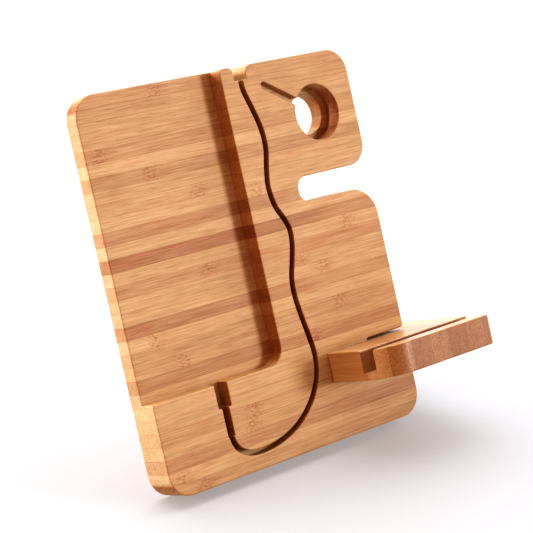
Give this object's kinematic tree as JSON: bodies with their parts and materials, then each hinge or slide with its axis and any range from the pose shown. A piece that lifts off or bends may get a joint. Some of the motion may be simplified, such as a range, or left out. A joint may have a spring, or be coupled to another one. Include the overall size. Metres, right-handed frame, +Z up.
{
  "type": "tablet stand",
  "caption": "Bamboo stand with a leaning panel for a phone or small tablet, a watch charger seat and a slide-on tray with a phone groove.",
  "frame": {"origin": "on the table under the middle of the stand's footprint", "axes": "+X to the right along the panel's width, +Y to the back, +Z up"},
  "size_m": [0.1924, 0.1429, 0.1946],
  "materials": {
    "panel_bamboo": "satin",
    "tray_bamboo": "satin"
  },
  "bodies": {
    "panel": {"panel_strip_01": "panel_bamboo", "panel_strip_02": "panel_bamboo", "panel_strip_03": "panel_bamboo", "panel_strip_04": "panel_bamboo", "panel_strip_05": "panel_bamboo", "panel_strip_06": "panel_bamboo", "panel_strip_07": "panel_bamboo", "panel_strip_08": "panel_bamboo", "panel_strip_09": "panel_bamboo", "panel_strip_10": "panel_bamboo", "panel_strip_11": "panel_bamboo", "panel_strip_12": "panel_bamboo", "panel_strip_13": "panel_bamboo", "panel_strip_14": "panel_bamboo", "panel_strip_15": "panel_bamboo", "panel_strip_16": "panel_bamboo", "panel_strip_17": "panel_bamboo", "panel_strip_18": "panel_bamboo", "panel_strip_19": "panel_bamboo", "panel_strip_20": "panel_bamboo", "panel_strip_21": "panel_bamboo", "panel_strip_22": "panel_bamboo", "panel_strip_23": "panel_bamboo", "panel_strip_24": "panel_bamboo", "panel_strip_25_left": "panel_bamboo", "panel_strip_25_right": "panel_bamboo", "panel_strip_26_left": "panel_bamboo", "panel_strip_26_right": "panel_bamboo", "panel_strip_27_left": "panel_bamboo", "panel_strip_27_right": "panel_bamboo", "panel_strip_28": "panel_bamboo", "panel_strip_29": "panel_bamboo", "panel_strip_30_left": "panel_bamboo", "panel_strip_30_right": "panel_bamboo"},
    "tray": {"tray_strip_01_back": "tray_bamboo", "tray_strip_01_front": "tray_bamboo", "tray_strip_02_back": "tray_bamboo", "tray_strip_02_front": "tray_bamboo", "tray_strip_03_back": "tray_bamboo", "tray_strip_03_front": "tray_bamboo", "tray_strip_04_back": "tray_bamboo", "tray_strip_04_front": "tray_bamboo", "tray_strip_05": "tray_bamboo", "tray_strip_06": "tray_bamboo", "tray_strip_07": "tray_bamboo", "tray_strip_08": "tray_bamboo", "tray_strip_09": "tray_bamboo", "tray_strip_10": "tray_bamboo", "tray_strip_11": "tray_bamboo", "tray_strip_12": "tray_bamboo"}
  },
  "joints": [
    {"name": "tray_slide", "type": "slide", "parent": "panel", "child": "tray", "axis": [1, 0, 0], "range_m": [0, 0.06]}
  ]
}
